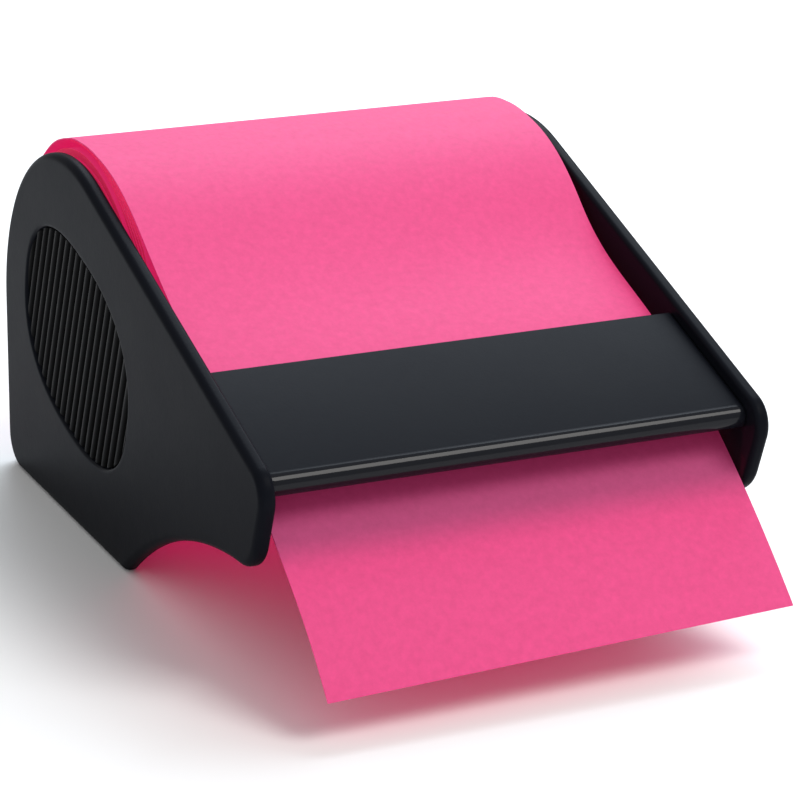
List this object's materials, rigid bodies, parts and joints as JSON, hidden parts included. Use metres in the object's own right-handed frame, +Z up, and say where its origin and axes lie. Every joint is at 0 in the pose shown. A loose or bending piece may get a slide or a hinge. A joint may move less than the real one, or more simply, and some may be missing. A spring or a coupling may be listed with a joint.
{
  "type": "sticky note roll with desk dispenser",
  "caption": "Roll of pink sticky note paper in a black one-piece desk dispenser with wedge-shaped side walls and a tear bar, a length of paper drawn out under the bar.",
  "frame": {"origin": "middle of the whole part's footprint, on the surface that the dispenser stands on", "axes": "+X across the paper, +Y from the tear bar to the back, +Z up"},
  "size_m": [0.0658, 0.1014, 0.05],
  "materials": {
    "black_plastic": "satin",
    "grey_board": "matt",
    "turn_edges": "matt",
    "note_paper": "matt"
  },
  "bodies": {
    "dispenser": {"dispenser_body": "black_plastic", "paper_strip": "note_paper"},
    "roll": {"roll_core": "grey_board", "paper_roll": "turn_edges"}
  },
  "joints": [
    {"name": "roll_turn", "type": "hinge", "parent": "dispenser", "child": "roll", "pos_m": [0, 0.02688, 0.02555], "axis": [1, 0, 0], "continuous": true}
  ]
}
